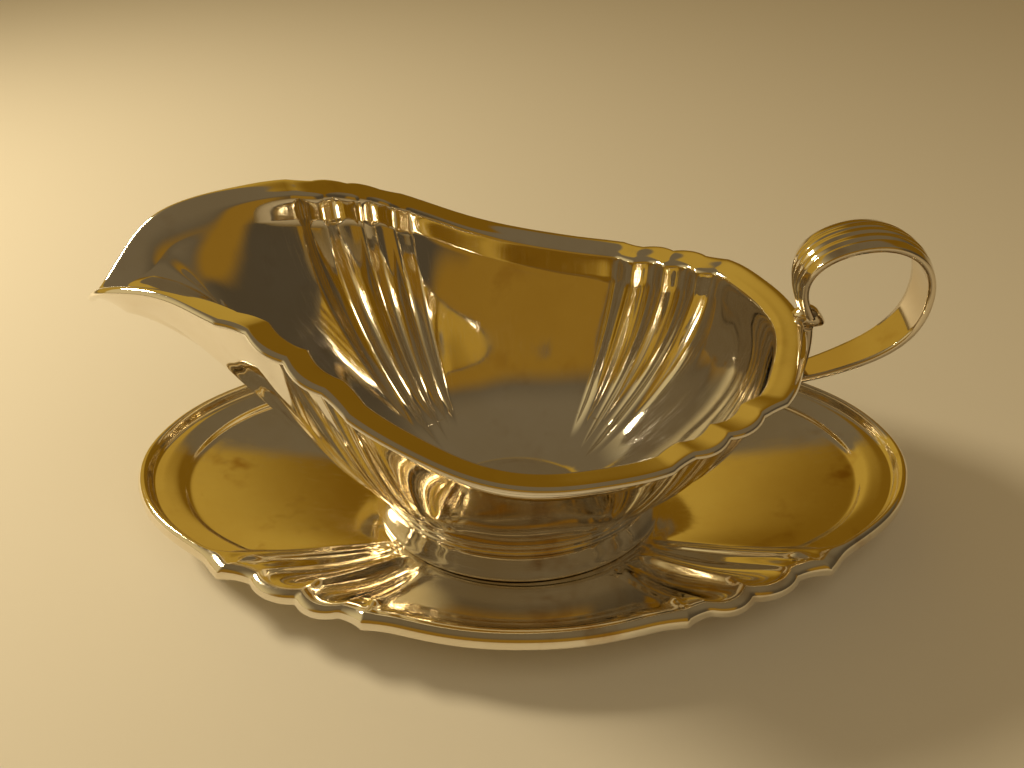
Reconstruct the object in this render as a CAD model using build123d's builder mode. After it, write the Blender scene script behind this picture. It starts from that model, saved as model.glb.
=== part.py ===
"""Silver gravy boat standing loose on its oval tray.

Millimetres.  The origin is the centre of the tray's underside, which lies on the
table at z = 0.  The spout points along -X, the handle along +X, and +Z is up.
"""
from build123d import *
import math
import os

import numpy as np

# Driving dimensions
SHEET = 1.2                 # thickness of the bowl's and the tray's metal
TRAY_CREST = 19.0           # height of the tray's rim
TRAY_FLOOR = SHEET          # the tray's flat floor, upper side
FOOT_GAP = 0.2              # clearance between the foot and the tray's floor
FOOT_BASE = TRAY_FLOOR + FOOT_GAP
MIDDLE_X = -1.0             # middle of the bowl's bottom and of the foot
BOTTOM_LONG = 18.0          # half axes of the bottom's oval, where the walls start
BOTTOM_WIDE = 9.0
BOTTOM_Z = 4.4              # upper side of the bowl's bottom
FOOT_LONG = 44.5            # half axes of the foot's base
FOOT_WIDE = 36.0
TRAY_GAP = 1.2              # from the foot to where the tray's floor starts to rise
STRAP_THICK = 1.6           # handle ribbon, without its crown
STRAP_CROWN = 1.2

# The bowl's rim, from the spout's tip round to the handle: place of the crest, then
# the angle on the bottom's oval that its wall falls to, and how far the wall first
# leans inwards, drops, and bellies out from the bottom.
RIM = [
    # x, y, z, bottom angle, inward, drop, belly
    (-112.8, 0.0, 77.0, 180, 36, 0, 36),
    (-109.2, 10.8, 81.8, 177, 30, 5, 33.4),
    (-101.0, 20.3, 89.0, 171, 19, 15, 29.5),
    (-85.0, 27.3, 92.6, 163, 11, 25, 28.4),
    (-67.0, 35.5, 91.9, 154, 8, 33, 28.1),
    (-52.0, 44.7, 87.0, 144, 9, 33, 29.6),
    (-37.0, 53.4, 78.9, 132, 11, 29, 28.3),
    (-14.0, 59.8, 67.4, 108, 13, 25, 26.4),
    (10.0, 58.9, 62.3, 79, 13, 24, 24.5),
    (33.0, 52.0, 62.0, 52, 10, 25, 20.7),
    (48.0, 44.0, 63.9, 39, 8, 26, 20.1),
    (62.0, 33.4, 66.0, 26, 5, 26, 16.7),
    (71.0, 17.0, 67.2, 14, 3, 27, 15.7),
    (74.3, 0.0, 67.6, 0, 2, 27, 14.9),
]
SCALLOPS = (5, 10)          # the stations in the middle of the two fluted groups

# Cross-sections of the rim: distance inwards from the edge, height over the crest
FLANGE = [(-1.5, -1.8), (-0.7, -0.7), (0.4, -0.6), (3.4, -1.5), (5.6, -2.2), (6.5, -3.8),
          (6.8, -7.0), (7.1, -10.2)]
SPOUT = [(0, -1.2), (0.5, -0.3), (1.2, 0), (2.2, -0.3), (3.2, -1.0), (4.6, -2.5),
         (6.2, -4.7), (8.0, -7.8)]
TIP = [(0, -1.2), (0.5, -0.3), (1.2, 0), (2.2, -0.05), (3.2, -0.1), (4.6, -0.18),
       (6.2, -0.26), (8.0, -0.3)]
WALL_STEPS = 6              # levels between the bottom and the lip
RIM_STEPS = 4               # points to each step between the rim's stations
LOBES = 0.62                # a fluted group's lobes end this far from its middle station

# The tray's outline, a quarter from the end to the long side
TRAY_EDGE = [
    (116.2, 0.0), (115.2, 7.5), (112.4, 15.0), (108.2, 22.0), (102.0, 28.8),
    (94.2, 35.0), (86.6, 40.2), (79.2, 44.6), (59.6, 55.0), (40.5, 61.4),
    (20.0, 66.8), (0.0, 68.6),
]
TRAY_TURN = [0, 7, 14, 21, 27, 30.5, 32.5, 35, 44, 56, 72, 90]   # angle on the floor oval
TRAY_SCALLOP = 8            # the station in the middle of the fluted group
TRAY_STEPS = 3              # points to each step between the outline's stations
# Section through a tray's end: distance inwards from the edge, height.  The rolled
# rim falls to a groove, then a raised band ends in a small step down to the floor.
TRAY_END = [(0, 15.4), (0.2, 17.2), (1.0, 18.5), (2.2, TRAY_CREST), (3.4, 17.9), (4.4, 16.0),
            (6.0, 15.6), (9.0, 14.9), (12.4, 13.8), (13.8, 12.7), (16.0, 12.1)]
# Section through a tray's side: share of the way to the floor, height
TRAY_SIDE = [(0.00, 15.4), (0.01, 17.2), (0.04, 18.5), (0.09, TRAY_CREST), (0.15, 18.2),
             (0.22, 16.8), (0.34, 14.2), (0.48, 11.1), (0.62, 8.2), (0.76, 5.4), (0.90, 2.8)]

# Centre line of the handle ribbon's outer face, and its half width
STRAP = [
    # x, z, half width
    (76.0, 66.5, 3.0), (72.4, 73.5, 4.4), (71.2, 82.0, 6.4), (76.4, 89.6, 7.3),
    (87.5, 93.3, 7.6), (98.2, 91.0, 7.2), (105.3, 84.0, 6.6), (107.7, 74.5, 6.3),
    (105.8, 64.6, 6.1), (99.6, 56.8, 5.6), (91.8, 51.8, 5.0), (84.0, 48.2, 4.3),
    (75.0, 45.2, 3.6), (64.8, 43.0, 3.2),
]
STRAP_SECTIONS = 3          # lofted sections to each step between those points

# Foot: distance out from its base's oval, and height, from the bowl downwards
FOOT = [(-5.8, 12.7), (-3.8, 13.1), (-2.5, 13.2), (-2.0, 12.4), (-2.8, 11.0), (-2.2, 9.9),
        (-2.9, 8.5), (-2.3, 6.4), (-1.2, 4.2), (0.0, 2.4), (0.0, FOOT_BASE)]
FOOT_INSIDE = [(-6.2, 12.7), (-5.2, 11.0), (-4.6, 9.6), (-4.6, 6.6), (-3.5, 4.2), (-2.4, 2.4),
               (-2.2, FOOT_BASE)]

# Riser between the rim and the strap's lower end: x, z, half width, half thickness
RISER = [(77.3, 64.4, 2.6, 1.9), (78.2, 59.0, 2.0, 1.7), (78.5, 53.0, 1.9, 1.5),
         (78.3, 48.5, 2.2, 1.3)]
# Knob and leaf spur, which points outwards and a little down: x, z, radius
LEAF = [(73.6, 66.6, 1.6), (76.2, 67.6, 3.0), (78.2, 66.8, 2.8), (80.0, 65.8, 2.0),
        (81.6, 64.9, 0.9)]
LEAF_TILT = -0.35


def through(values, signs=None):
    """Curve through values at 0, 1, 2, ..., mirrored at both ends where signs are given."""
    knots = np.array(values, float)
    start = 0
    if signs is not None:
        flip_first, flip_last = np.array(signs, float)
        start = 3
        knots = np.vstack([knots[3:0:-1] * flip_first, knots, knots[-2:-5:-1] * flip_last])
    count = len(knots)
    system = np.eye(count)
    right = np.zeros_like(knots)
    for row in range(1, count - 1):
        system[row, row - 1:row + 2] = (1, 4, 1)
        right[row] = 6 * (knots[row - 1] - 2 * knots[row] + knots[row + 1])
    bend = np.linalg.solve(system, right)

    def curve(u):
        index = min(int(u + start), count - 2)
        t = u + start - index
        s = 1 - t
        return (knots[index] * s + knots[index + 1] * t
                + ((s**3 - s) * bend[index] + (t**3 - t) * bend[index + 1]) / 6)
    return curve


def ease(t):
    """Smooth step from 0 to 1."""
    t = min(max(t, 0), 1)
    return t**3 * (t * (6 * t - 15) + 10)


def unit(vector):
    """The vector's direction, with length 1."""
    return vector / np.linalg.norm(vector)


def oval(long, wide, angle, z, middle_x=0.0):
    """Point at an angle on a level ellipse."""
    return np.array([middle_x + long * math.cos(angle), wide * math.sin(angle), z])


def closed_rings(lines):
    """Turn half the lines, from -X to +X or back, into closed rings, one per level."""
    half = np.array(lines)
    other = half[-2:0:-1] * (1, -1, 1)
    return np.concatenate([half, other]).transpose(1, 0, 2)


def thickened(rings, thickness):
    """Add the underside's rings: the first ring's metal lies straight below it."""
    around = np.roll(rings, -1, axis=1) - np.roll(rings, 1, axis=1)
    across = np.gradient(rings, axis=0)
    normals = np.cross(around, across)
    normals /= np.linalg.norm(normals, axis=2)[:, :, None]
    if normals[0, 0, 2] > 0:
        normals = -normals
    normals[0] = (0, 0, -1)
    under = rings + normals * thickness
    return np.concatenate([rings, under[::-1]])


def ring_solid(rings):
    """Solid skinned over closed rings; the first and the last are flat and get capped."""
    wires = []
    for ring in rings:
        steps = [i / len(ring) for i in range(len(ring) + 1)]
        edge = Edge.make_spline([Vector(*point) for point in ring], periodic=True,
                                parameters=steps)
        wires.append(Wire([edge]))
    return Solid.make_loft(wires, ruled=True)


# Bowl
rim_place = through([row[:3] for row in RIM], signs=[(1, -1, 1), (1, -1, 1)])
rim_wall = through([row[3:] for row in RIM])
RIM_END = len(RIM) - 1


def rim_inward(u, step=1e-3):
    """Level direction from the rim into the bowl."""
    if u < step or u > RIM_END - step:
        return np.array([1.0, 0.0]) if u < step else np.array([-1.0, 0.0])
    along = (rim_place(u + step) - rim_place(u - step))[:2]
    return unit(np.array([along[1], -along[0]]))


def rim_bulge(u):
    """How far the fluted groups' two lobes stand out."""
    for middle in SCALLOPS:
        off = abs(u - middle)
        if off <= LOBES:
            return 6.0 * (off / LOBES) * (1 - off / LOBES) - 0.9
        if off <= 1:
            return -0.9 + 1.6 * ((off - LOBES) / (1 - LOBES))**2
        if off < 1.9:
            return 0.7 * (1 - ease((off - 1) / 0.9))
    return 0.0


def bowl_line(u):
    """Upper surface from the bottom's oval up the wall and over the rim's lip."""
    crest = rim_place(u)
    inward = rim_inward(u)
    flanged = ease((u - 2.6) / 1.4)
    tipped = ease((1.8 - u) / 1.8)
    lip = []
    for flange, spout, tip in zip(FLANGE, SPOUT, TIP):
        plain = np.array(spout) * (1 - tipped) + np.array(tip) * tipped
        depth, height = np.array(flange) * flanged + plain * (1 - flanged)
        flat = crest[:2] + inward * (depth - rim_bulge(u))
        lip.append(np.array([flat[0], flat[1], crest[2] + height]))
    ahead = ease((3.2 - u) / 2.6)
    leaning = unit(inward * (1 - ahead) + np.array([1.0, 0.0]) * ahead)
    degrees, lean, drop, belly = rim_wall(u)
    angle = math.radians(degrees)
    bottom = oval(BOTTOM_LONG, BOTTOM_WIDE, angle, BOTTOM_Z, MIDDLE_X)
    out = unit(oval(BOTTOM_WIDE, BOTTOM_LONG, angle, 0))
    top = lip[-1]
    upper = top + np.array([leaning[0] * lean, leaning[1] * lean, -drop])
    lower = bottom + out * belly
    wall = []
    for step in range(WALL_STEPS):
        t = step / WALL_STEPS
        s = 1 - t
        wall.append(s**3 * bottom + 3 * s * s * t * lower + 3 * s * t * t * upper + t**3 * top)
    return wall + lip[::-1]


bowl_lines = [bowl_line(i / RIM_STEPS) for i in range(RIM_END * RIM_STEPS + 1)]
with BuildPart() as bowl:
    add(ring_solid(thickened(closed_rings(bowl_lines), SHEET)))

# Foot
with BuildPart() as foot:
    for profile, mode in ((FOOT, Mode.ADD), (FOOT_INSIDE, Mode.SUBTRACT)):
        for out, z in profile:
            with BuildSketch(Plane.XY.offset(z)):
                with Locations((MIDDLE_X, 0)):
                    Ellipse(FOOT_LONG + out, FOOT_WIDE + out)
        loft(ruled=True, mode=mode)

# Tray
tray_edge = through(TRAY_EDGE, signs=[(1, -1), (-1, 1)])
tray_turn = through([(angle,) for angle in TRAY_TURN])
TRAY_END_STATION = len(TRAY_EDGE) - 1


def tray_bulge(u):
    """How far the tray's fluted lobes stand out, and the flare to their end corner."""
    off = abs(u - TRAY_SCALLOP)
    endward = u < TRAY_SCALLOP
    if off <= LOBES:
        return 7.6 * (off / LOBES) * (1 - off / LOBES) - 0.6
    if off <= 1:
        return -0.6 + (3.4 if endward else 1.8) * ((off - LOBES) / (1 - LOBES))**2
    if endward:
        return 2.8 * max(0, 1 - (off - 1) / 1.4)**2
    return 1.2 * max(0, 1 - (off - 1) / 0.45)**2


def tray_line(u):
    """Upper surface from the floor's oval out to the rim's lip."""
    edge = tray_edge(u)
    angle = math.radians(tray_turn(u)[0])
    floor = oval(FOOT_LONG + TRAY_GAP, FOOT_WIDE + TRAY_GAP, angle, TRAY_FLOOR)[:2]
    reach = np.linalg.norm(floor - edge)
    inward = (floor - edge) / reach
    side = ease((u - 5.4) / 1.4)
    line = [np.array([floor[0], floor[1], TRAY_FLOOR])]
    for (end_in, end_z), (share, side_z) in zip(TRAY_END[::-1], TRAY_SIDE[::-1]):
        depth = end_in * (1 - side) + share * reach * side
        flat = edge + inward * (depth - tray_bulge(u))
        hollow = 0.0
        off = abs(u - TRAY_SCALLOP)
        if off < 1:
            hollow = 2.2 * math.sin(math.pi * off) * math.sin(math.pi * min(share, 1))
        z = end_z * (1 - side) + side_z * side - hollow * side
        line.append(np.array([flat[0], flat[1], z]))
    return line


quarter = [tray_line(i / TRAY_STEPS) for i in range(TRAY_END_STATION * TRAY_STEPS + 1)]
far_quarter = [[point * (-1, 1, 1) for point in line] for line in quarter[-2::-1]]
with BuildPart() as tray:
    add(ring_solid(thickened(closed_rings(quarter + far_quarter), SHEET)))

# Handle
strap_place = through(STRAP)
STRAP_LAST = len(STRAP) - 1


def strap_plane(u, step=1e-3):
    """Plane across the ribbon: its x is the width, its z runs along the ribbon."""
    low, high = max(u - step, 0), min(u + step, STRAP_LAST)
    along = (strap_place(high) - strap_place(low))[:2]
    x, z, _ = strap_place(u)
    return Plane(origin=(x, 0, z), x_dir=(0, 1, 0), z_dir=(along[0], 0, along[1]))


with BuildPart() as handle_strap:
    for index in range(STRAP_LAST * STRAP_SECTIONS + 1):
        station = index / STRAP_SECTIONS
        half = strap_place(station)[2]
        with BuildSketch(strap_plane(station)):
            with BuildLine():
                ThreePointArc((-half, -STRAP_CROWN), (0, 0), (half, -STRAP_CROWN))
                Polyline((half, -STRAP_CROWN), (half, -STRAP_CROWN - STRAP_THICK),
                         (-half, -STRAP_CROWN - STRAP_THICK), (-half, -STRAP_CROWN))
            make_face()
    loft(ruled=True)

with BuildPart() as handle_riser:
    for x, z, half_width, half_thick in RISER:
        with BuildSketch(Plane.XY.offset(z)):
            with Locations((x, 0)):
                Ellipse(half_thick, half_width)
    loft()

with BuildPart() as handle_leaf:
    for x, z, radius in LEAF:
        with BuildSketch(Plane(origin=(x, 0, z), x_dir=(0, 1, 0), z_dir=(1, 0, LEAF_TILT))):
            Circle(radius)
    loft()

nodes = {
    "tray": tray,
    "bowl": bowl,
    "foot": foot,
    "handle_strap": handle_strap,
    "handle_riser": handle_riser,
    "handle_leaf": handle_leaf,
}
os.makedirs("parts", exist_ok=True)
for name, node in nodes.items():
    node.part.label = name
    export_step(node.part, f"parts/{name}.step")
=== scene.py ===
import math

import bpy
import numpy as np
from mathutils import Matrix, Vector


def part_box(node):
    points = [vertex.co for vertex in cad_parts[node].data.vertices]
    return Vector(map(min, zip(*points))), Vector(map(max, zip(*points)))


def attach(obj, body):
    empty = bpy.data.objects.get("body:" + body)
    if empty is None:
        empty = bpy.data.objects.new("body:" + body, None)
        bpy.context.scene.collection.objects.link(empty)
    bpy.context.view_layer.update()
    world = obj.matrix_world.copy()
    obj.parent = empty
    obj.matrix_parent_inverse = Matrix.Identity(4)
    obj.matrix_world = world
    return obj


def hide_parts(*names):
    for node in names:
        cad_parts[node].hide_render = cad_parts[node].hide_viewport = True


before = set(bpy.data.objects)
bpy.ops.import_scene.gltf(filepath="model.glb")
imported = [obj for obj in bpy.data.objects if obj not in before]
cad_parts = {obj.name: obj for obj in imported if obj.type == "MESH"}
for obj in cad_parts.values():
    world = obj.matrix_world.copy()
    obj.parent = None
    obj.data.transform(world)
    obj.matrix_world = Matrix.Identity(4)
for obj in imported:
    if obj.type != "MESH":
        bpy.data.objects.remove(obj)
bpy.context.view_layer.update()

# ------------------------------------------------------------------ sizes

# Lengths are in millimetres until a mesh is made.
MM = 0.001
SHEET = 1.2
SHEET_EDGE = 0.45           # how far the sheet's rounded edge stands out
EDGE_TURNS = (30, 60, 90, 120, 150)
TRAY_CREST = 19.0
TRAY_FLOOR = SHEET
FOOT_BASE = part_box("foot")[0].z / MM
MIDDLE_X = -1.0             # middle of the foot and of the bowl's bottom
BOTTOM_LONG, BOTTOM_WIDE, BOTTOM_Z = 18.0, 9.0, 4.4
FOOT_LONG, FOOT_WIDE = 44.5, 36.0
TRAY_GAP = 1.2              # from the foot to the oval where the tray's wall starts
STRAP_THICK, STRAP_CROWN = 1.6, 1.2

# The bowl's rim, from the spout's tip round to the handle: place of the crest, then
# the angle on the bottom's oval that its wall falls to, and how far the wall first
# leans inwards, drops, and bellies out from the bottom.
RIM = [
    # x, y, z, bottom angle, inward, drop, belly
    (-112.8, 0.0, 77.0, 180, 36, 0, 36),
    (-109.2, 10.8, 81.8, 177, 30, 5, 33.4),
    (-101.0, 20.3, 89.0, 171, 19, 15, 29.5),
    (-85.0, 27.3, 92.6, 163, 11, 25, 28.4),
    (-67.0, 35.5, 91.9, 154, 8, 33, 28.1),
    (-52.0, 44.7, 87.0, 144, 9, 33, 29.6),
    (-37.0, 53.4, 78.9, 132, 11, 29, 28.3),
    (-14.0, 59.8, 67.4, 108, 13, 25, 26.4),
    (10.0, 58.9, 62.3, 79, 13, 24, 24.5),
    (33.0, 52.0, 62.0, 52, 10, 25, 20.7),
    (48.0, 44.0, 63.9, 39, 8, 26, 20.1),
    (62.0, 33.4, 66.0, 26, 5, 26, 16.7),
    (71.0, 17.0, 67.2, 14, 3, 27, 15.7),
    (74.3, 0.0, 67.6, 0, 2, 27, 14.9),
]
RIM_STEPS = 16              # steps from one row of RIM to the next
WALL_STEPS = 48
BOTTOM_RINGS = 8
PROFILE_STEPS = 4
FLUTE_RISE = 0.55           # share of the wall over which the flutes grow to full depth
# Where along the rows of RIM a change starts or ends, and over how many rows it runs
FLANGE_BLEND = (2.6, 1.4)   # starts: from the spout's lip to the flange
TIP_BLEND = (1.8, 1.8)      # ends: from the spout's tip to its lip
AHEAD_BLEND = (3.2, 2.6)    # ends: from a wall that leans straight towards the handle

# Cross-sections of the rim: distance inwards from the edge, height over the crest
FLANGE = [(-1.5, -1.8), (-1.25, -1.1), (-0.7, -0.65), (0.3, -0.6), (2.0, -1.05), (3.8, -1.6),
          (5.4, -2.1), (6.3, -3.0), (6.65, -5.0), (6.85, -7.5), (7.1, -10.2)]
SPOUT = [(0, -1.2), (0.1, -0.8), (0.5, -0.3), (1.2, 0), (2.2, -0.3), (3.2, -1.0), (4.0, -1.8),
         (5.0, -3.0), (6.0, -4.4), (7.0, -6.0), (8.0, -7.8)]
TIP = [(0, -1.2), (0.1, -0.8), (0.5, -0.3), (1.2, 0), (2.2, -0.05), (3.2, -0.1), (4.0, -0.15),
       (5.0, -0.2), (6.0, -0.25), (7.0, -0.3), (8.0, -0.3)]

# Each fluted group is two lobes and a shoulder on each side of its middle row.
SCALLOPS = (5, 10)          # middle rows of the bowl's groups
TRAY_SCALLOP = 8            # and of the tray's
LOBE_WIDTH = 0.625
BOWL_LOBE = (6.0, 0.9)      # four times a lobe's height, and how far its creases lie in
BOWL_SHOULDER = 1.6         # how far the group's end stands out from the outer crease
BOWL_FADE_HEIGHT, BOWL_FADE_WIDTH = 0.7, 0.9
TRAY_LOBE = (7.6, 0.6)
TRAY_SHOULDER_END, TRAY_SHOULDER_SIDE = 3.4, 1.8
TRAY_FADE_END = (2.8, 1.4)
TRAY_FADE_SIDE = (1.2, 0.45)

FOOT = [(-5.8, 12.7), (-3.8, 13.1), (-2.5, 13.2), (-2.0, 12.4), (-2.8, 11.0), (-2.2, 9.9),
        (-2.9, 8.5), (-2.3, 6.4), (-1.2, 4.2), (0.0, 2.4), (0.0, FOOT_BASE)]
FOOT_INSIDE = [(-6.2, 12.7), (-5.2, 11.0), (-4.6, 9.6), (-4.6, 6.6), (-3.5, 4.2), (-2.4, 2.4),
               (-2.2, FOOT_BASE)]
FOOT_SIDES = 192
FOOT_STEPS, FOOT_INSIDE_STEPS = 5, 3

# A quarter of the tray's outline, from its end to its side, and the angle on the
# floor's oval that each place runs in to
TRAY_EDGE = [
    (116.2, 0.0), (115.2, 7.5), (112.4, 15.0), (108.2, 22.0), (102.0, 28.8),
    (94.2, 35.0), (86.6, 40.2), (79.2, 44.6), (59.6, 55.0), (40.5, 61.4),
    (20.0, 66.8), (0.0, 68.6),
]
TRAY_TURN = [0, 7, 14, 21, 27, 30.5, 32.5, 35, 44, 56, 72, 90]
# Cross-sections of the tray's rim: distance inwards from the edge, height.  At the
# side the distance is a share of the way to the floor's oval.
TRAY_END = [(0, 15.4), (0.2, 17.2), (1.0, 18.5), (2.2, TRAY_CREST), (3.4, 17.9), (4.4, 16.0),
            (6.0, 15.6), (9.0, 14.9), (12.4, 13.8), (13.8, 12.7), (16.0, 12.1)]
TRAY_SIDE = [(0.00, 15.4), (0.01, 17.2), (0.04, 18.5), (0.09, TRAY_CREST), (0.15, 18.2),
             (0.22, 16.8), (0.34, 14.2), (0.48, 11.1), (0.62, 8.2), (0.76, 5.4), (0.90, 2.8)]
TRAY_STEPS = 5
TRAY_RAMP = 24              # steps from the floor's oval up to the rim's section
TRAY_FLOOR_RINGS = 6
SIDE_BLEND = (5.4, 1.4)     # row where the section starts to change, and over how many
GROOVE_DEEP = 2.2           # hollow of each lobe, half way in from the edge
# The fluted stretch of the outline, and the steps within it and outside it
FLUTED_FROM, FLUTED_TO = 6.5, 9.5
FLUTED_STEP, PLAIN_STEP = 1 / 32, 1 / 10

# The three ridges of each fluted group on the tray, and the beads on the outer two
RIDGE_HEIGHT = 1.3
RIDGE_GENTLE, RIDGE_STEEP = 3.4, 1.3
RIDGE_GAP, RIDGE_CLOSING = 23, 12   # apart at the edge, and how much less at the floor
RIDGE_OUTER = (0.12, 0.12)  # share of the way in where they start, and over how much
RIDGE_INNER = (0.98, 0.16)  # share of the way in where they end, and over how much
KNUCKLE_HEIGHT = 1.0
KNUCKLE_SHARE = 0.2         # share of the way in
KNUCKLE_WIDE, KNUCKLE_LONG = 2.4, 3.2

STRAP = [
    # x, z, half width
    (76.0, 66.5, 3.0), (72.4, 73.5, 4.4), (71.2, 82.0, 6.4), (76.4, 89.6, 7.3),
    (87.5, 93.3, 7.6), (98.2, 91.0, 7.2), (105.3, 84.0, 6.6), (107.7, 74.5, 6.3),
    (105.8, 64.6, 6.1), (99.6, 56.8, 5.6), (91.8, 51.8, 5.0), (84.0, 48.2, 4.3),
    (75.0, 45.2, 3.6), (64.8, 43.0, 3.2),
]
STRAP_STEPS = 12
STRAP_ACROSS, STRAP_UNDER = 40, 10
STRAP_UNDER_WIDTH = 0.97    # width of the plain inside against the outside
STRAP_UNDER_CROWN = 0.25
REEDS = 3                   # rounded reeds between two plain outer bands
REED_BAND = 0.62            # share of the half width that the reeds take
REED_DEEP = 0.5
RISER = [
    # x, z, half width, half thickness
    (77.3, 64.4, 2.6, 1.9), (78.2, 59.0, 2.0, 1.7), (78.5, 53.0, 1.9, 1.5),
    (78.3, 48.5, 2.2, 1.3),
]
LEAF = [
    # x, z, radius
    (73.6, 66.6, 1.6), (76.2, 67.6, 3.0), (78.2, 66.8, 2.8), (80.0, 65.8, 2.0),
    (81.6, 64.9, 0.9),
]
ROD_STEPS, ROD_SIDES = 8, 32


# ------------------------------------------------------------------ curves

def through(values, signs=None):
    """Curve through values at 0, 1, 2, ..., mirrored at both ends where signs are given."""
    knots = np.array(values, float)
    start = 0
    if signs is not None:
        flip_first, flip_last = np.array(signs, float)
        start = 3
        knots = np.vstack([knots[3:0:-1] * flip_first, knots, knots[-2:-5:-1] * flip_last])
    count = len(knots)
    system = np.eye(count)
    right = np.zeros_like(knots)
    for row in range(1, count - 1):
        system[row, row - 1:row + 2] = (1, 4, 1)
        right[row] = 6 * (knots[row - 1] - 2 * knots[row] + knots[row + 1])
    bend = np.linalg.solve(system, right)

    def curve(u):
        index = min(int(u + start), count - 2)
        t = u + start - index
        s = 1 - t
        return (knots[index] * s + knots[index + 1] * t
                + ((s**3 - s) * bend[index] + (t**3 - t) * bend[index + 1]) / 6)
    return curve


def ease(t):
    """Smooth step from 0 to 1."""
    t = min(max(t, 0), 1)
    return t**3 * (t * (6 * t - 15) + 10)


def unit(vector):
    """The vector's direction, with length 1."""
    return vector / np.linalg.norm(vector)


def oval(long, wide, angle, z, middle_x=0.0):
    """Point of a level ellipse at an angle of its parameter."""
    return np.array([middle_x + long * math.cos(angle), wide * math.sin(angle), z])


def sampled(profile, steps):
    """A profile's points joined by a smooth curve and divided finely."""
    curve = through(profile)
    last = len(profile) - 1
    return np.array([curve(i / steps) for i in range(last * steps + 1)])


def lobe(off, size):
    """Outward bulge of the lobe beside a group's middle crease."""
    out, crease = size
    share = off / LOBE_WIDTH
    return out * share * (1 - share) - crease


def shoulder(off, size, rise):
    """Outward bulge from a lobe's outer crease to the group's end."""
    return -size[1] + rise * ((off - LOBE_WIDTH) / (1 - LOBE_WIDTH))**2


# ------------------------------------------------------------------ meshes

def closed_rings(lines):
    """Turn half the lines, from one end to the other, into closed rings, one per level."""
    half = np.array(lines)
    other = half[-2:0:-1] * (1, -1, 1)
    return np.concatenate([half, other]).transpose(1, 0, 2)


def downward_normals(rings):
    """Unit normals of the surface through the rings, on its under side."""
    around = np.roll(rings, -1, axis=1) - np.roll(rings, 1, axis=1)
    across = np.gradient(rings, axis=0)
    normals = np.cross(around, across)
    normals /= np.linalg.norm(normals, axis=2)[:, :, None] + 1e-12
    if normals[0, 0, 2] > 0:
        normals = -normals
    return normals


def sheet_rings(rings):
    """Rings of both sides of a sheet, with a rounded edge, floor first and last."""
    normals = downward_normals(rings)
    normals[0] = (0, 0, -1)
    under = rings + normals * SHEET
    outwards = rings[-1] - rings[-2]
    outwards /= np.linalg.norm(outwards, axis=1)[:, None]
    middle = (rings[-1] + under[-1]) / 2
    half = (rings[-1] - under[-1]) / 2
    edge = []
    for angle in EDGE_TURNS:
        turn = math.radians(angle)
        edge.append(middle + half * math.cos(turn) + outwards * SHEET_EDGE * math.sin(turn))
    return np.concatenate([rings, np.array(edge), under[::-1]])


def with_floor(rings, middle, levels):
    """Rings with flat smaller ones put first, from near the middle out to the first."""
    floor = [middle + (rings[0] - middle) * (level / levels) for level in range(1, levels)]
    return np.concatenate([floor, rings])


def ring_mesh(name, rings, capped=True):
    """Object skinned over closed rings of points, with a fan at each end if capped."""
    levels, count = rings.shape[:2]
    verts = rings.reshape(-1, 3)
    faces = []
    for level in range(levels - 1):
        for i in range(count):
            j = (i + 1) % count
            a, b = level * count + i, level * count + j
            faces.append((a, b, b + count, a + count))
    if capped:
        first = len(verts)
        verts = np.vstack([verts, rings[0].mean(axis=0), rings[-1].mean(axis=0)])
        faces += [((i + 1) % count, i, first) for i in range(count)]
        base = (levels - 1) * count
        faces += [(base + i, base + (i + 1) % count, first + 1) for i in range(count)]
    mesh = bpy.data.meshes.new(name)
    mesh.from_pydata([tuple(v * MM) for v in verts], [], faces)
    mesh.validate()
    add_flow(mesh, rings)
    mesh.shade_smooth()
    piece = bpy.data.objects.new(name, mesh)
    bpy.context.scene.collection.objects.link(piece)
    return piece


def add_flow(mesh, rings):
    """Coordinates that run round the rings and from ring to ring, in metres."""
    flow = mesh.uv_layers.new(name="flow")
    levels, count = rings.shape[:2]
    step = np.linalg.norm(np.diff(rings, axis=0), axis=2).mean(axis=1)
    along = np.concatenate([[0], np.cumsum(step)])
    girth = np.linalg.norm(rings - np.roll(rings, 1, axis=1), axis=2).sum(axis=1).max()
    total = levels * count
    for polygon in mesh.polygons:
        columns = [mesh.loops[k].vertex_index % count for k in polygon.loop_indices
                   if mesh.loops[k].vertex_index < total]
        wraps = max(columns) - min(columns) > count / 2
        for k in polygon.loop_indices:
            index = mesh.loops[k].vertex_index
            if index >= total:
                flow.data[k].uv = (0, 0)
                continue
            level, column = divmod(index, count)
            if wraps and column < count / 2:
                column += count
            flow.data[k].uv = (girth * column / count * MM, along[level] * MM)


# ------------------------------------------------------------------ bowl

RIM_END = len(RIM) - 1
rim_place = through([row[:3] for row in RIM], signs=[(1, -1, 1), (1, -1, 1)])
rim_wall = through([row[3:] for row in RIM])
fine_flange = sampled(FLANGE, PROFILE_STEPS)
fine_spout = sampled(SPOUT, PROFILE_STEPS)
fine_tip = sampled(TIP, PROFILE_STEPS)
TOWARDS_HANDLE = np.array([1.0, 0.0])


def rim_inward(u, step=1e-3):
    """Level direction from the rim into the bowl."""
    if u < step:
        return TOWARDS_HANDLE
    if u > RIM_END - step:
        return -TOWARDS_HANDLE
    along = (rim_place(u + step) - rim_place(u - step))[:2]
    return unit(np.array([along[1], -along[0]]))


def rim_bulge(u):
    """How far the fluted groups stand out of the bowl's rim."""
    for middle in SCALLOPS:
        off = abs(u - middle)
        if off <= LOBE_WIDTH:
            return lobe(off, BOWL_LOBE)
        if off <= 1:
            return shoulder(off, BOWL_LOBE, BOWL_SHOULDER)
        if off < 1 + BOWL_FADE_WIDTH:
            return BOWL_FADE_HEIGHT * (1 - ease((off - 1) / BOWL_FADE_WIDTH))
    return 0.0


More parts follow.
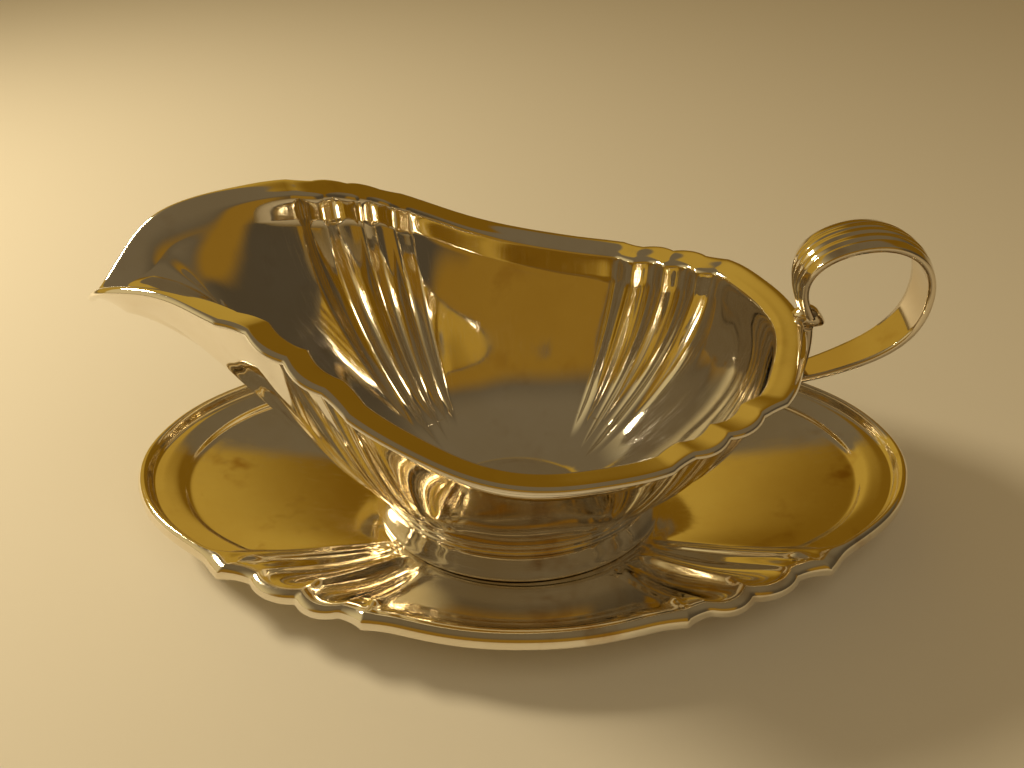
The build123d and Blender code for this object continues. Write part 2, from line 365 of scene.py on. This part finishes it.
def rim_profile(u):
    """Section of the rim: the flange, and at the spout its lip and tip."""
    flanged = ease((u - FLANGE_BLEND[0]) / FLANGE_BLEND[1])
    tipped = ease((TIP_BLEND[0] - u) / TIP_BLEND[1])
    spout = fine_spout * (1 - tipped) + fine_tip * tipped
    return fine_flange * flanged + spout * (1 - flanged)


def bowl_line(u):
    """Upper surface from the bottom's oval up the wall and over the rim's lip."""
    crest = rim_place(u)
    inward = rim_inward(u)
    bulge = rim_bulge(u)
    lip = [np.array([*(crest[:2] + inward * (depth - bulge)), crest[2] + height])
           for depth, height in rim_profile(u)]
    ahead = ease((AHEAD_BLEND[0] - u) / AHEAD_BLEND[1])
    leaning = unit(inward * (1 - ahead) + TOWARDS_HANDLE * ahead)
    degrees, lean, drop, belly = rim_wall(u)
    angle = math.radians(degrees)
    bottom = oval(BOTTOM_LONG, BOTTOM_WIDE, angle, BOTTOM_Z, MIDDLE_X)
    out = unit(oval(BOTTOM_WIDE, BOTTOM_LONG, angle, 0))
    top = lip[-1]
    upper = top + np.array([leaning[0] * lean, leaning[1] * lean, -drop])
    lower = bottom + out * belly
    flute = np.array([-leaning[0], -leaning[1], 0]) * bulge
    wall = []
    for step in range(WALL_STEPS):
        t = step / WALL_STEPS
        s = 1 - t
        share = 3 * s * t * t + t**3
        point = s**3 * bottom + 3 * s * s * t * lower + 3 * s * t * t * upper + t**3 * top
        wall.append(point + flute * (ease(t / FLUTE_RISE) - share))
    return wall + lip[::-1]


def make_bowl():
    """The bowl's sheet, mirrored about the plane through spout and handle."""
    rings = closed_rings([bowl_line(i / RIM_STEPS) for i in range(RIM_END * RIM_STEPS + 1)])
    rings = with_floor(rings, np.array([MIDDLE_X, 0, BOTTOM_Z]), BOTTOM_RINGS)
    return ring_mesh("bowl_body", sheet_rings(rings))


def make_foot():
    """The hollow stepped collar, closed from its outside round to its inside."""
    profile = [*sampled(FOOT, FOOT_STEPS), *sampled(FOOT_INSIDE[::-1], FOOT_INSIDE_STEPS)]
    rings = [[oval(FOOT_LONG + out, FOOT_WIDE + out, 2 * math.pi * i / FOOT_SIDES, z, MIDDLE_X)
              for i in range(FOOT_SIDES)] for out, z in profile]
    return ring_mesh("foot_collar", np.array(rings + rings[:1]), capped=False)


# ------------------------------------------------------------------ tray

TRAY_LAST = len(TRAY_EDGE) - 1
tray_edge = through(TRAY_EDGE, signs=[(1, -1), (-1, 1)])
tray_turn = through([(angle,) for angle in TRAY_TURN])
fine_end = sampled(TRAY_END, TRAY_STEPS)
fine_side = sampled(TRAY_SIDE, TRAY_STEPS)


def tray_bulge(u):
    """How far the tray's fluted lobes stand out, and the flare to their end corner."""
    off = abs(u - TRAY_SCALLOP)
    endward = u < TRAY_SCALLOP
    if off <= LOBE_WIDTH:
        return lobe(off, TRAY_LOBE)
    if off <= 1:
        return shoulder(off, TRAY_LOBE, TRAY_SHOULDER_END if endward else TRAY_SHOULDER_SIDE)
    height, width = TRAY_FADE_END if endward else TRAY_FADE_SIDE
    return height * max(0, 1 - (off - 1) / width)**2


def tray_relief(off, share, reach):
    """Ridges along each fluted group's three creases, with beads at their outer ends."""
    gap = RIDGE_GAP - RIDGE_CLOSING * share
    along = (ease((share - RIDGE_OUTER[0]) / RIDGE_OUTER[1])
             * ease((RIDGE_INNER[0] - share) / RIDGE_INNER[1]))
    height = 0.0
    for middle in (-1, 0, 1):
        away = (off - middle) * gap
        width = RIDGE_STEEP if away > 0 else RIDGE_GENTLE
        height += RIDGE_HEIGHT * math.exp(-(away / width)**2) * along
        if middle:
            far = (share - KNUCKLE_SHARE) * reach
            height += KNUCKLE_HEIGHT * math.exp(-(away / KNUCKLE_WIDE)**2
                                                - (far / KNUCKLE_LONG)**2)
    return height


def tray_section(reach, side, bulge):
    """Distances inwards and heights, from the floor's oval out to the lip."""
    line = []
    for (end_in, end_z), (share, side_z) in zip(fine_end[::-1], fine_side[::-1]):
        depth = end_in * (1 - side) + share * reach * side
        line.append((depth - bulge, end_z * (1 - side) + side_z * side))
    first_depth, first_z = line[0]
    ramp = []
    for step in range(TRAY_RAMP):
        part = step / TRAY_RAMP
        ramp.append((reach + (first_depth - reach) * part,
                     TRAY_FLOOR + (first_z - TRAY_FLOOR) * part))
    return ramp + line


def tray_line(u):
    """Upper surface from the floor's oval out to the rim's lip."""
    edge = tray_edge(u)
    angle = math.radians(tray_turn(u)[0])
    floor = oval(FOOT_LONG + TRAY_GAP, FOOT_WIDE + TRAY_GAP, angle, TRAY_FLOOR)[:2]
    reach = np.linalg.norm(floor - edge)
    inward = (floor - edge) / reach
    side = ease((u - SIDE_BLEND[0]) / SIDE_BLEND[1])
    off = u - TRAY_SCALLOP
    groove = GROOVE_DEEP * math.sin(math.pi * abs(off)) if abs(off) < 1 else 0.0
    bulge = tray_bulge(u)
    points = []
    for depth, z in tray_section(reach, side, bulge):
        share = min(max((depth + bulge) / reach, 0), 1)
        z += tray_relief(off, share, reach) - groove * math.sin(math.pi * share) * side
        points.append(np.array([*(edge + inward * depth), z]))
    return points


def make_tray():
    """The tray's sheet, a quarter mirrored twice, in finer steps at the fluted groups."""
    stations = np.concatenate([np.arange(0, FLUTED_FROM, PLAIN_STEP),
                               np.arange(FLUTED_FROM, FLUTED_TO, FLUTED_STEP),
                               np.arange(FLUTED_TO, TRAY_LAST + PLAIN_STEP / 2, PLAIN_STEP)])
    quarter = [tray_line(u) for u in stations]
    far_quarter = [[point * (-1, 1, 1) for point in line] for line in quarter[-2::-1]]
    rings = closed_rings(quarter + far_quarter)
    rings = with_floor(rings, np.array([0, 0, TRAY_FLOOR]), TRAY_FLOOR_RINGS)
    return ring_mesh("tray_plate", sheet_rings(rings))


# ------------------------------------------------------------------ handle

def strap_section(half):
    """Closed outline across the ribbon: reeded crowned outside, plain inside."""
    points = []
    for i in range(STRAP_ACROSS + 1):
        s = -1 + 2 * i / STRAP_ACROSS
        height = -STRAP_CROWN * s * s
        if abs(s) < REED_BAND:
            phase = (s + REED_BAND) / (2 * REED_BAND) * REEDS
            height += REED_DEEP * (abs(math.sin(math.pi * phase)) - 1)
        points.append((s * half, height))
    under = -STRAP_CROWN - STRAP_THICK
    for i in range(STRAP_UNDER + 1):
        s = 1 - 2 * i / STRAP_UNDER
        points.append((s * half * STRAP_UNDER_WIDTH, under + STRAP_UNDER_CROWN * (1 - s * s)))
    return points


def outward_of(curve, u, last, step=1e-3):
    """Direction in the x-z plane across a curve, on the left of its travel."""
    low, high = max(u - step, 0), min(u + step, last)
    along = unit((curve(high) - curve(low))[:2])
    return np.array([-along[1], along[0]])


def round_angles():
    """Angles round a rod's section."""
    return np.linspace(0, 2 * math.pi, ROD_SIDES, endpoint=False)


def make_strap():
    """The reeded ribbon, swept along its loop."""
    curve = through(STRAP)
    last = len(STRAP) - 1
    sections = []
    for index in range(last * STRAP_STEPS + 1):
        u = index / STRAP_STEPS
        x, z, half = curve(u)
        outward = outward_of(curve, u, last)
        sections.append([(x + outward[0] * height, across, z + outward[1] * height)
                         for across, height in strap_section(half)])
    return ring_mesh("handle_ribbon", np.array(sections))


def make_riser():
    """The tapered post, in level sections."""
    curve = through(RISER)
    sections = []
    for index in range((len(RISER) - 1) * ROD_STEPS + 1):
        x, z, half_width, half_thick = curve(index / ROD_STEPS)
        sections.append([(x + half_thick * math.cos(a), half_width * math.sin(a), z)
                         for a in round_angles()])
    return ring_mesh("handle_post", np.array(sections))


def make_leaf():
    """The knob and its spur, in sections square to their line."""
    curve = through(LEAF)
    last = len(LEAF) - 1
    sections = []
    for index in range(last * ROD_STEPS + 1):
        u = index / ROD_STEPS
        x, z, radius = curve(u)
        outward = outward_of(curve, u, last)
        sections.append([(x + outward[0] * radius * math.cos(a), radius * math.sin(a),
                          z + outward[1] * radius * math.cos(a)) for a in round_angles()])
    return ring_mesh("handle_spur", np.array(sections))


# ------------------------------------------------------------------ materials

STAIN = (0.52, 0.34, 0.13, 1)
# Noise: scale, detail, roughness
CLOUD_NOISE = (30.0, 5.0, 0.6)
SPOT_NOISE = (85.0, 3.0, 0.55)
STREAK_NOISE = (1.0, 4.0, 0.6)
SMUDGE_NOISE = (75.0, 4.0, 0.6)
SWAY_NOISE = (45.0, 1.0, 0.4)
# Range of a noise that a look grows over
CLOUD_TINT = (0.35, 0.70)
CLOUD_STAIN = (0.40, 0.62)
SPOT_STAIN = (0.54, 0.78)
STREAK_RANGE = (0.45, 0.80)
SMUDGE_RANGE = (0.50, 0.80)
STREAK_ROUGHNESS, SMUDGE_ROUGHNESS = 0.10, 0.09
SCRATCH_STRENGTH, SCRATCH_DEPTH = 0.20, 0.00002
DENT_STRENGTH, DENT_DEPTH = 0.3, 0.00008


class Graph:
    """Small helper to add and join shader nodes."""

    def __init__(self, tree):
        self.tree = tree
        self.nodes = tree.nodes

    def add(self, kind, **values):
        """A new node with its settings."""
        node = self.nodes.new("ShaderNode" + kind)
        for key, value in values.items():
            setattr(node, key, value)
        return node

    def feed(self, node, **inputs):
        """Set or link a node's sockets, by name or, as _0, by number."""
        for key, value in inputs.items():
            name = int(key[1:]) if key[0] == "_" else key.replace("_", " ")
            socket = node.inputs[name]
            if hasattr(value, "is_output"):
                self.tree.links.new(value, socket)
            else:
                socket.default_value = value
        return node

    def math(self, operation, first, second=0.0, third=0.0):
        """Result of a sum on up to three values."""
        node = self.add("Math", operation=operation)
        return self.feed(node, _0=first, _1=second, _2=third).outputs[0]

    def remap(self, value, low, high, to_low=0.0, to_high=1.0):
        """A value carried smoothly from one range to another."""
        node = self.add("MapRange", interpolation_type="SMOOTHSTEP")
        self.feed(node, Value=value, From_Min=low, From_Max=high, To_Min=to_low, To_Max=to_high)
        return node.outputs["Result"]

    def mix(self, share, first, second):
        """The first colour, and the second by its share."""
        node = self.add("Mix", data_type="RGBA", blend_type="MIX")
        return self.feed(node, _0=share, _6=first, _7=second).outputs[2]

    def noise(self, place, scale, detail, rough, stretch=None):
        """Noise at a place, drawn out along its axes where stretch is given."""
        if stretch is not None:
            mapping = self.feed(self.add("Mapping"), Vector=place, Scale=stretch)
            place = mapping.outputs["Vector"]
        node = self.add("TexNoise")
        self.feed(node, Vector=place, Scale=scale, Detail=detail, Roughness=rough)
        return node.outputs["Fac"]


def silver(name, bright, warm, smooth, streaks, tarnish):
    """Polished silver plate with polishing streaks, smudges and a little tarnish."""
    material = bpy.data.materials.new(name)
    material.use_nodes = True
    graph = Graph(material.node_tree)
    shader = graph.nodes["Principled BSDF"]
    place = graph.add("TexCoord").outputs["Object"]
    flow = graph.add("UVMap", uv_map="flow").outputs["UV"]

    cloud = graph.noise(place, *CLOUD_NOISE)
    spots = graph.noise(place, *SPOT_NOISE)
    tint = graph.mix(graph.remap(cloud, *CLOUD_TINT), (*warm, 1), (*bright, 1))
    stained = graph.math("MULTIPLY", graph.remap(spots, *SPOT_STAIN),
                         graph.remap(cloud, *CLOUD_STAIN))
    colour = graph.mix(graph.math("MULTIPLY", stained, tarnish), tint, STAIN)
    graph.feed(shader, Base_Color=colour, Metallic=1.0)

    fine = graph.noise(flow, *STREAK_NOISE, streaks)
    smudge = graph.noise(place, *SMUDGE_NOISE)
    gloss = graph.math("ADD",
                       graph.remap(fine, *STREAK_RANGE, smooth, smooth + STREAK_ROUGHNESS),
                       graph.remap(smudge, *SMUDGE_RANGE, 0.0, SMUDGE_ROUGHNESS))
    graph.feed(shader, Roughness=gloss)
    scratch = graph.feed(graph.add("Bump"), Strength=SCRATCH_STRENGTH, Distance=SCRATCH_DEPTH,
                         Height=fine)
    sway = graph.noise(place, *SWAY_NOISE)
    dented = graph.feed(graph.add("Bump"), Strength=DENT_STRENGTH, Distance=DENT_DEPTH,
                        Height=sway, Normal=scratch.outputs["Normal"])
    graph.feed(shader, Normal=dented.outputs["Normal"])
    return material


def dress(piece, body, node, material):
    """Give a piece its material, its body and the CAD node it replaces."""
    piece.data.materials.clear()
    piece.data.materials.append(material)
    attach(piece, body)
    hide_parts(node)


bowl_silver = silver("bowl_silver", bright=(0.93, 0.90, 0.84), warm=(0.88, 0.83, 0.73),
                     smooth=0.035, streaks=(1500, 90, 1), tarnish=0.3)
foot_silver = silver("foot_silver", bright=(0.90, 0.86, 0.79), warm=(0.82, 0.75, 0.62),
                     smooth=0.06, streaks=(60, 2200, 1), tarnish=0.7)
tray_silver = silver("tray_silver", bright=(0.92, 0.88, 0.78), warm=(0.86, 0.79, 0.64),
                     smooth=0.07, streaks=(500, 500, 1), tarnish=0.8)
# The handle's silver is tinted darker and browner than the bowl's. This is painted shade,
# standing in for the shadowed table that the strap mirrors.
handle_silver_painted_shade = silver("handle_silver_painted_shade", bright=(0.86, 0.80, 0.69), warm=(0.76, 0.67, 0.52),
                       smooth=0.05, streaks=(900, 90, 1), tarnish=0.5)

dress(make_bowl(), "boat", "bowl", bowl_silver)
dress(make_foot(), "boat", "foot", foot_silver)
dress(make_strap(), "boat", "handle_strap", handle_silver_painted_shade)
dress(make_riser(), "boat", "handle_riser", handle_silver_painted_shade)
dress(make_leaf(), "boat", "handle_leaf", handle_silver_painted_shade)
dress(make_tray(), "tray", "tray", tray_silver)


# ------------------------------------------------------------------ studio

FLOOR_REACH = 4.0
FLOOR_COLOUR = (0.76, 0.71, 0.60, 1)
FLOOR_ROUGHNESS = 0.7

# The surroundings, by the direction they are seen in: x to the handle, y back, z up
WALL_GLOW = (0.42, 0.25, 0.034, 1)      # the wall behind, and its right part
WALL_DIM = (0.17, 0.081, 0.005, 1)
WALL_TURN = (0.11, -0.11)
WALL_SLOPE = 1.38                       # the wall ends where z is this many times y
WALL_BORDER = (-0.05, 0.05)
FRONT_GLOW = (0.070, 0.050, 0.026, 1)   # the room in front, up to the ceiling
CEILING_GLOW = (0.15, 0.108, 0.055, 1)
CEILING_TURN = (0.30, 0.80)
SIDE_GLOW = (0.60, 0.46, 0.22, 1)       # the bright left side
SIDE_TURN = (-0.45, -0.95)
CARD_GLOW = (0.24, 0.122, 0.013, 1)     # a golden card low in front
CARD_FRONT, CARD_LOW, CARD_LEFT = (-0.50, -0.74), (0.60, 0.42), (0.72, 0.58)
BACKDROP = (0.44, 0.36, 0.22, 1)        # what the camera itself sees past the floor

KEY_PLACE, KEY_TARGET = (-0.55, 0.18, 0.46), (0, 0, 0.02)
KEY_SIZE, KEY_POWER, KEY_COLOUR = 0.15, 3.5, (1.0, 0.84, 0.56)
FILL_PLACE, FILL_TARGET = (0.3, -0.6, 1.2), (0, 0, 0)
FILL_SIZE, FILL_POWER, FILL_COLOUR = 1.2, 3.2, (1.0, 0.86, 0.62)

CAMERA_PLACE = (-0.0020, -0.1963, 0.1956)
CAMERA_YAW, CAMERA_DOWN, CAMERA_ROLL = -0.26, 37.56, -0.54
SENSOR_WIDTH, FOCAL_LENGTH = 36.0, 30.38
CLIP_START = 0.01


def plain_floor():
    """A wide pale table top."""
    mesh = bpy.data.meshes.new("floor")
    corners = [(-1, -1), (1, -1), (1, 1), (-1, 1)]
    mesh.from_pydata([(x * FLOOR_REACH, y * FLOOR_REACH, 0) for x, y in corners],
                     [], [(0, 1, 2, 3)])
    floor = bpy.data.objects.new("floor", mesh)
    bpy.context.scene.collection.objects.link(floor)
    material = bpy.data.materials.new("pale_floor")
    material.use_nodes = True
    shader = material.node_tree.nodes["Principled BSDF"]
    shader.inputs["Base Color"].default_value = FLOOR_COLOUR
    shader.inputs["Roughness"].default_value = FLOOR_ROUGHNESS
    mesh.materials.append(material)


def warm_world():
    """A golden wall behind, a dark room in front, a dim ceiling, more light from the left."""
    world = bpy.data.worlds.new("studio")
    bpy.context.scene.world = world
    world.use_nodes = True
    graph = Graph(world.node_tree)
    split = graph.add("SeparateXYZ")
    graph.feed(split, Vector=graph.add("TexCoord").outputs["Generated"])
    x, y, z = split.outputs
    wall = graph.mix(graph.remap(x, *WALL_TURN), WALL_DIM, WALL_GLOW)
    room = graph.mix(graph.remap(z, *CEILING_TURN), FRONT_GLOW, CEILING_GLOW)
    room = graph.mix(graph.remap(x, *SIDE_TURN), room, SIDE_GLOW)
    card = graph.math("MULTIPLY", graph.remap(y, *CARD_FRONT), graph.remap(z, *CARD_LOW))
    card = graph.math("MULTIPLY", card, graph.remap(x, *CARD_LEFT))
    room = graph.mix(card, room, CARD_GLOW)
    down = graph.math("MULTIPLY", z, -1.0)
    behind = graph.remap(graph.math("MULTIPLY_ADD", y, WALL_SLOPE, down), *WALL_BORDER)
    seen = graph.add("LightPath").outputs["Is Camera Ray"]
    glow = graph.mix(seen, graph.mix(behind, room, wall), BACKDROP)
    graph.feed(graph.nodes["Background"], Color=glow, Strength=1.0)


def area_light(name, place, target, size, power, colour, mirrored=True):
    """A soft round lamp that points at its target, and may be left out of reflections."""
    light = bpy.data.lights.new(name, "AREA")
    light.shape = "DISK"
    light.size = size
    light.energy = power
    light.color = colour
    lamp = bpy.data.objects.new(name, light)
    bpy.context.scene.collection.objects.link(lamp)
    lamp.location = place
    lamp.rotation_euler = (Vector(target) - Vector(place)).to_track_quat("-Z", "Y").to_euler()
    lamp.visible_glossy = mirrored


def photo_camera():
    """The camera, above and in front of the boat."""
    camera = bpy.data.cameras.new("camera")
    camera.sensor_width = SENSOR_WIDTH
    camera.lens = FOCAL_LENGTH
    camera.clip_start = CLIP_START
    view = bpy.data.objects.new("camera", camera)
    bpy.context.scene.collection.objects.link(view)
    turn = (Matrix.Rotation(math.radians(-CAMERA_YAW), 3, "Z")
            @ Matrix.Rotation(math.radians(90 - CAMERA_DOWN), 3, "X")
            @ Matrix.Rotation(math.radians(CAMERA_ROLL), 3, "Z"))
    view.matrix_world = Matrix.Translation(CAMERA_PLACE) @ turn.to_4x4()
    bpy.context.scene.camera = view


bpy.context.scene.view_settings.view_transform = "Standard"
plain_floor()
warm_world()
area_light("key", KEY_PLACE, KEY_TARGET, KEY_SIZE, KEY_POWER, KEY_COLOUR)
area_light("fill", FILL_PLACE, FILL_TARGET, FILL_SIZE, FILL_POWER, FILL_COLOUR, mirrored=False)
photo_camera()
